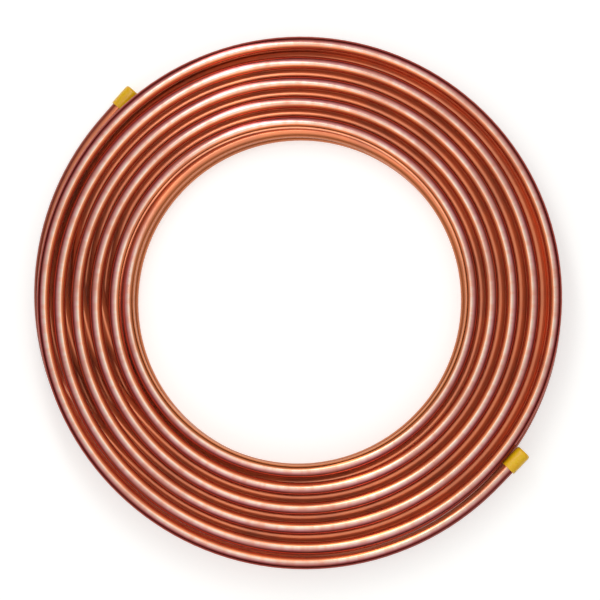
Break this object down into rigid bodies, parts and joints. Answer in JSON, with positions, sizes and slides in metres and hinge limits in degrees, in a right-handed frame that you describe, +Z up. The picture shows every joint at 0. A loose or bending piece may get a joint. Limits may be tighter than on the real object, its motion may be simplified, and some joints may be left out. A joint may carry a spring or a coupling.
{
  "type": "copper tube coil",
  "caption": "Flat-lying coil of soft copper tube, wound in spiral layers around an open bore, with both free tube ends closed by push-on caps.",
  "frame": {"origin": "middle of the coil's box, on the level face it lies on", "axes": "+Z up through the bore, the coil's short direction; +X and +Y across the coil, the upper free end at +X -Y"},
  "size_m": [0.255, 0.2546, 0.0254],
  "materials": {
    "copper": "bright annealed copper",
    "cap_plastic": "yellow moulded polyethylene"
  },
  "bodies": {
    "root": {"copper_tube": "copper", "upper_end_cap": "cap_plastic", "lower_end_cap": "cap_plastic"}
  },
  "joints": []
}
